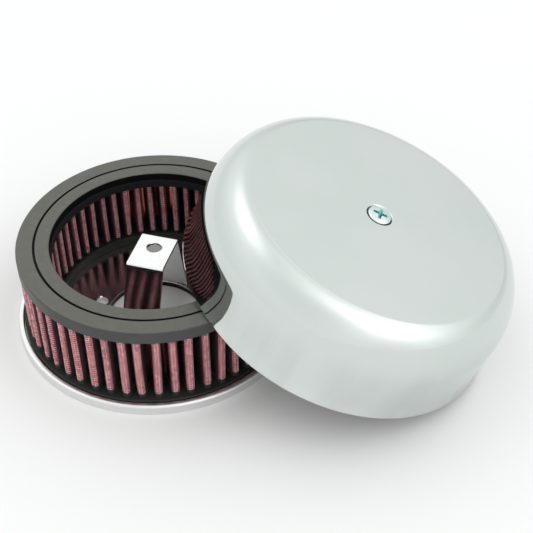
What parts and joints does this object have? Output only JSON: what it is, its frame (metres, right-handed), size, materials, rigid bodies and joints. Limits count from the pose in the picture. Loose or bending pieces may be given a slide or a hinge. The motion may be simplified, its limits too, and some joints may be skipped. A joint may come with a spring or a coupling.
{
  "type": "motorcycle air filter assembly",
  "caption": "Round air filter with backing plate, strap bracket, pleated cotton element and a domed cover leaning on it.",
  "frame": {"origin": "centre of the inlet bore on the backing plate's back face, at bench level", "axes": "+Z is the element's axis and points from the back face to the open side; the strap bracket runs 67 degrees from +X towards +Y"},
  "size_m": [0.2735, 0.198, 0.1097],
  "materials": {
    "polished_plate": "machined rim, polished floor",
    "plated_steel": "bright plated sheet steel",
    "rivet_steel": "plain steel",
    "end_cap": "moulded urethane, matt olive grey",
    "end_cap_dark": "moulded urethane, black",
    "oiled_cotton": "oiled red cotton gauze",
    "wire_screen": "fine woven wire, coated and oiled red",
    "cover_chrome": "bright chrome on drawn steel",
    "zinc_screw": "clear zinc plate",
    "washer_rubber": "black rubber",
    "retainer_nylon": "natural nylon"
  },
  "bodies": {
    "base": {"backing_plate": "polished_plate", "strap_bracket": "plated_steel", "bracket_rivets": "rivet_steel"},
    "element": {"top_end_cap": "end_cap", "bottom_end_cap": "end_cap_dark", "cotton_gauze": "oiled_cotton", "outer_wire_screen": "wire_screen", "inner_wire_screen": "wire_screen", "seam_clip": "rivet_steel"},
    "cover": {"cover_shell": "cover_chrome"},
    "washer": {"screw_washer": "washer_rubber"},
    "screw": {"cover_screw": "zinc_screw", "screw_retainer": "retainer_nylon"}
  },
  "joints": [
    {"name": "element_lift", "type": "slide", "parent": "base", "child": "element", "axis": [0, 0, 1], "range_m": [0, 0.06]},
    {"name": "cover_lift", "type": "slide", "parent": "element", "child": "cover", "axis": [0.3469, -0.0951, 0.9331], "range_m": [0, 0.11]},
    {"name": "screw_rise", "type": "slide", "parent": "cover", "child": "washer", "axis": [0.3469, -0.0951, 0.9331], "range_m": [0, 0.0062]},
    {"name": "screw_turn", "type": "hinge", "parent": "washer", "child": "screw", "pos_m": [0.12043, -0.02481, 0.08338], "axis": [0.3469, -0.0951, 0.9331], "range_deg": [0, 1581.8]}
  ],
  "couplings": [
    {"joint": "screw_turn", "follows": "screw_rise", "rad_per_m": 4452.7}
  ]
}
